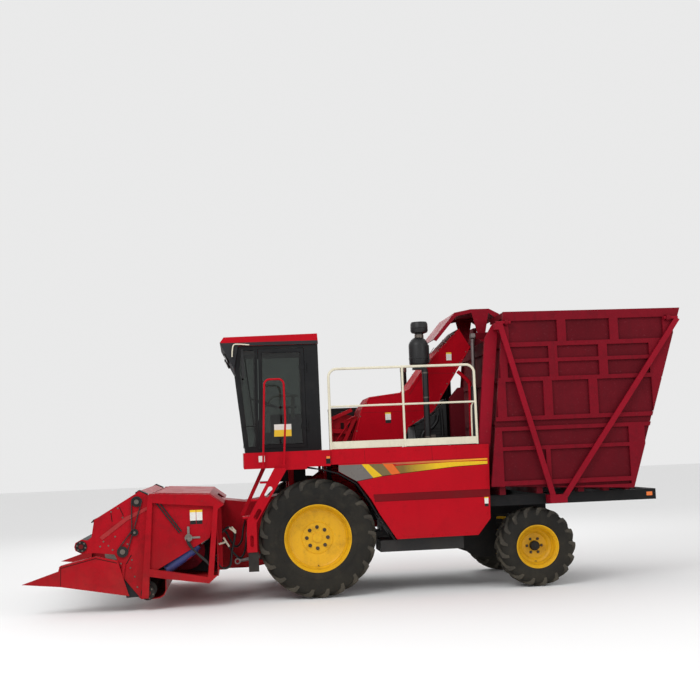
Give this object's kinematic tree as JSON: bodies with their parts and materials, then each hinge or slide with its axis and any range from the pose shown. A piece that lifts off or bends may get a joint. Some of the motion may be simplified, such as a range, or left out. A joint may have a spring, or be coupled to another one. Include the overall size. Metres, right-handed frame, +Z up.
{
  "type": "pepper harvester",
  "caption": "Self-propelled pepper harvester with picking header, cab, side deck, crop elevator and a side-tipping bin on four wheels.",
  "frame": {"origin": "ground under the middle of the overall box", "axes": "+X forward to the header, +Y to the vehicle's left, +Z up"},
  "size_m": [8.72, 3.3, 3.787],
  "materials": {
    "red_paint": "gloss",
    "bin_paint": "satin",
    "black_paint": "satin",
    "rim_paint": "satin",
    "rail_paint": "gloss",
    "dark_frame": "satin",
    "tyre_rubber": "matte",
    "step_rubber": "matte",
    "pane": "polished",
    "cast_block": "matte",
    "stack_black": "satin",
    "seat_cloth": "matte",
    "control_plastic": "matte",
    "cyl_barrel": "gloss",
    "cyl_rod": "polished",
    "bright_steel": "satin"
  },
  "bodies": {
    "chassis": {"main_frame": "black_paint", "front_axle": "black_paint", "rear_axle": "black_paint", "side_panels": "red_paint", "body_frame": "black_paint", "deck": "dark_frame", "wheel_arches": "black_paint", "engine_block": "cast_block", "tanks": "stack_black", "elevator_casing": "red_paint", "fan_duct": "bin_paint", "engine_stacks": "stack_black", "railings": "rail_paint", "cab_platform": "red_paint", "cab_shell": "dark_frame", "cab_glass": "pane", "cab_roof": "red_paint", "cab_seat": "seat_cloth", "cab_controls": "control_plastic", "ladder": "red_paint", "ladder_step": "step_rubber", "mirrors": "stack_black", "hinge_frame": "bin_paint"},
    "header": {"feeder_house": "red_paint", "header_ends": "red_paint", "header_frame": "red_paint", "header_hoods": "red_paint", "dividers": "red_paint"},
    "drum": {"picking_drum": "bright_steel"},
    "auger": {"header_auger": "bin_paint"},
    "pan_roller": {"pan_roller": "black_paint"},
    "nose_roller": {"nose_roller": "black_paint"},
    "lift_barrels": {"lift_barrels": "cyl_barrel"},
    "lift_rods": {"lift_rods": "cyl_rod"},
    "knuckle_left": {"knuckle_left": "black_paint"},
    "knuckle_right": {"knuckle_right": "black_paint"},
    "wheel_front_left": {"tyre_front_left": "tyre_rubber", "rim_front_left": "rim_paint"},
    "wheel_front_right": {"tyre_front_right": "tyre_rubber", "rim_front_right": "rim_paint"},
    "wheel_rear_left": {"tyre_rear_left": "tyre_rubber", "rim_rear_left": "rim_paint"},
    "wheel_rear_right": {"tyre_rear_right": "tyre_rubber", "rim_rear_right": "rim_paint"},
    "door": {"cab_door": "dark_frame", "door_glass": "pane"},
    "bin": {"bin_wall_left": "bin_paint", "bin_wall_right": "bin_paint", "bin_wall_front": "bin_paint", "bin_wall_rear": "bin_paint", "bin_floor": "bin_paint", "elevator_hood": "bin_paint"},
    "bin_barrel": {"bin_barrel": "cyl_barrel"},
    "bin_rod": {"bin_rod": "cyl_rod"}
  },
  "joints": [
    {"name": "header_lift", "type": "hinge", "parent": "chassis", "child": "header", "pos_m": [0.935, 0, 1.2], "axis": [0, -1, 0], "range_deg": [-2.4, 10]},
    {"name": "drum_spin", "type": "hinge", "parent": "header", "child": "drum", "pos_m": [3.12, 0, 0.745], "axis": [0, 1, 0], "continuous": true},
    {"name": "auger_spin", "type": "hinge", "parent": "header", "child": "auger", "pos_m": [2.35, 0, 0.7], "axis": [0, 1, 0], "continuous": true},
    {"name": "pan_roller_spin", "type": "hinge", "parent": "header", "child": "pan_roller", "pos_m": [2.81, 0, 0.262], "axis": [0, 1, 0], "continuous": true},
    {"name": "nose_roller_spin", "type": "hinge", "parent": "header", "child": "nose_roller", "pos_m": [3.628, 0, 0.831], "axis": [0, 1, 0], "continuous": true},
    {"name": "lift_barrel_tilt", "type": "hinge", "parent": "chassis", "child": "lift_barrels", "pos_m": [0.872, 0, 0.6], "axis": [0, -1, 0], "range_deg": [-2.42, 9.91]},
    {"name": "lift_rod_slide", "type": "slide", "parent": "lift_barrels", "child": "lift_rods", "axis": [0.9879, 0, -0.1551], "range_m": [-0.02624, 0.10619]},
    {"name": "steer_left", "type": "hinge", "parent": "chassis", "child": "knuckle_left", "pos_m": [-2.26, 0.72, 0.542], "axis": [0, 0, 1], "range_deg": [-32, 32]},
    {"name": "steer_right", "type": "hinge", "parent": "chassis", "child": "knuckle_right", "pos_m": [-2.26, -0.72, 0.542], "axis": [0, 0, 1], "range_deg": [-32, 32]},
    {"name": "wheel_front_left_spin", "type": "hinge", "parent": "chassis", "child": "wheel_front_left", "pos_m": [0.65, 1.115, 0.77], "axis": [0, 1, 0], "continuous": true},
    {"name": "wheel_front_right_spin", "type": "hinge", "parent": "chassis", "child": "wheel_front_right", "pos_m": [0.65, -1.115, 0.77], "axis": [0, 1, 0], "continuous": true},
    {"name": "wheel_rear_left_spin", "type": "hinge", "parent": "knuckle_left", "child": "wheel_rear_left", "pos_m": [-2.26, 1.08, 0.522], "axis": [0, 1, 0], "continuous": true},
    {"name": "wheel_rear_right_spin", "type": "hinge", "parent": "knuckle_right", "child": "wheel_rear_right", "pos_m": [-2.26, -1.08, 0.522], "axis": [0, 1, 0], "continuous": true},
    {"name": "door_hinge", "type": "hinge", "parent": "chassis", "child": "door", "pos_m": [0.695, 0.715, 2.635], "axis": [0, 0, 1], "range_deg": [0, 85]},
    {"name": "bin_tip", "type": "hinge", "parent": "chassis", "child": "bin", "pos_m": [-3.05, 1.405, 3.5], "axis": [-1, 0, 0], "range_deg": [0, 115]},
    {"name": "bin_barrel_tilt", "type": "hinge", "parent": "chassis", "child": "bin_barrel", "pos_m": [-1.585, 0.75, 1.3], "axis": [1, 0, 0], "range_deg": [-7.71, 0.05]},
    {"name": "bin_rod_slide", "type": "slide", "parent": "bin_barrel", "child": "bin_rod", "axis": [0, 0.0962, 0.9954], "range_m": [-0.001, 0.76831]}
  ],
  "couplings": [
    {"joint": "lift_barrel_tilt", "follows": "header_lift", "ratio": 0.98629},
    {"joint": "lift_rod_slide", "follows": "header_lift", "m_per_rad": 0.60268},
    {"joint": "steer_right", "follows": "steer_left", "ratio": 1},
    {"joint": "bin_barrel_tilt", "follows": "bin_tip", "ratio": -0.06657},
    {"joint": "bin_rod_slide", "follows": "bin_tip", "m_per_rad": 0.38229}
  ]
}
